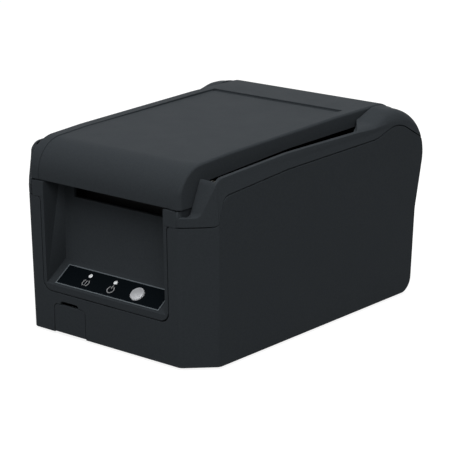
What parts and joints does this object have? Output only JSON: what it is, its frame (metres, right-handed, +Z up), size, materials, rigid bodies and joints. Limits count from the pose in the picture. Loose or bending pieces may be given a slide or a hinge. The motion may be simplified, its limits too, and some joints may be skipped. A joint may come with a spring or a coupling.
{
  "type": "receipt printer",
  "caption": "Desktop thermal receipt printer with a hinged lid carrying the platen, a front paper slot above a sloped control panel, and a flap over the power switch.",
  "frame": {"origin": "under the middle of the printer, on the surface its feet stand on", "axes": "+X to the right seen from the front, +Y from the front face to the rear, +Z up"},
  "size_m": [0.155, 0.2249, 0.1274],
  "materials": {
    "case_plastic": "dark charcoal, fine satin texture",
    "inner_plastic": "black moulded plastic",
    "gear_plastic": "off-white moulded gears",
    "label_film": "black printed film",
    "button_silver": "silver paint on plastic",
    "lens_clear": "milky light windows",
    "rubber": "black rubber",
    "steel": "bright zinc-plated steel",
    "sheet": "galvanised sheet",
    "aluminium": "bare aluminium",
    "ceramic": "glazed pale ceramic",
    "board_green": "green solder mask",
    "socket_metal": "plated socket shells",
    "bushing_plastic": "black low-friction plastic"
  },
  "bodies": {
    "case": {"lower_case": "case_plastic", "upper_case": "case_plastic", "base_plate": "inner_plastic", "paper_bucket": "inner_plastic", "power_switch": "inner_plastic", "feed_switch": "inner_plastic", "power_socket": "inner_plastic", "drawer_socket": "inner_plastic", "usb_socket": "socket_metal", "network_socket": "socket_metal", "rubber_feet": "rubber", "case_screws": "steel", "chassis_screws": "steel", "board_screws": "steel", "gear_post": "steel", "hinge_pins": "steel", "head_spring": "steel", "chassis": "sheet", "stepper_motor": "sheet", "head_heatsink": "aluminium", "print_head": "ceramic", "main_board": "board_green", "panel_board": "board_green", "panel_label": "label_film", "status_lenses": "lens_clear"},
    "lid": {"lid_shell": "case_plastic", "lid_frame": "inner_plastic", "tear_bar": "steel", "platen_bushings": "bushing_plastic"},
    "platen": {"platen_roller": "rubber", "platen_shaft": "steel", "platen_gear": "gear_plastic"},
    "idler": {"idler_gear": "gear_plastic"},
    "pinion": {"motor_pinion": "gear_plastic", "motor_shaft": "steel"},
    "button": {"feed_button": "button_silver"},
    "door": {"switch_door": "case_plastic"},
    "rocker": {"switch_rocker": "inner_plastic"}
  },
  "joints": [
    {"name": "lid_hinge", "type": "hinge", "parent": "case", "child": "lid", "pos_m": [0, 0.08169, 0.1085], "axis": [-1, 0, 0], "range_deg": [0, 85]},
    {"name": "platen_spin", "type": "hinge", "parent": "lid", "child": "platen", "pos_m": [0, -0.07649, 0.0965], "axis": [1, 0, 0], "continuous": true},
    {"name": "idler_spin", "type": "hinge", "parent": "case", "child": "idler", "pos_m": [0.055, -0.07455, 0.07087], "axis": [1, 0, 0], "continuous": true},
    {"name": "pinion_spin", "type": "hinge", "parent": "case", "child": "pinion", "pos_m": [0.055, -0.05201, 0.06496], "axis": [1, 0, 0], "continuous": true},
    {"name": "button_press", "type": "slide", "parent": "case", "child": "button", "axis": [0, 0.5707, -0.8211], "range_m": [0, 0.001], "stiffness_N_per_m": 800, "springref_m": -0.0005},
    {"name": "door_hinge", "type": "hinge", "parent": "case", "child": "door", "pos_m": [-0.03, -0.10949, 0.0039], "axis": [1, 0, 0], "range_deg": [0, 80]},
    {"name": "rocker_tilt", "type": "hinge", "parent": "case", "child": "rocker", "pos_m": [-0.03, -0.09489, 0.012], "axis": [-1, 0, 0], "range_deg": [0, 14]}
  ],
  "couplings": [
    {"joint": "idler_spin", "follows": "platen_spin", "ratio": -0.6},
    {"joint": "pinion_spin", "follows": "platen_spin", "ratio": 1.3333}
  ]
}
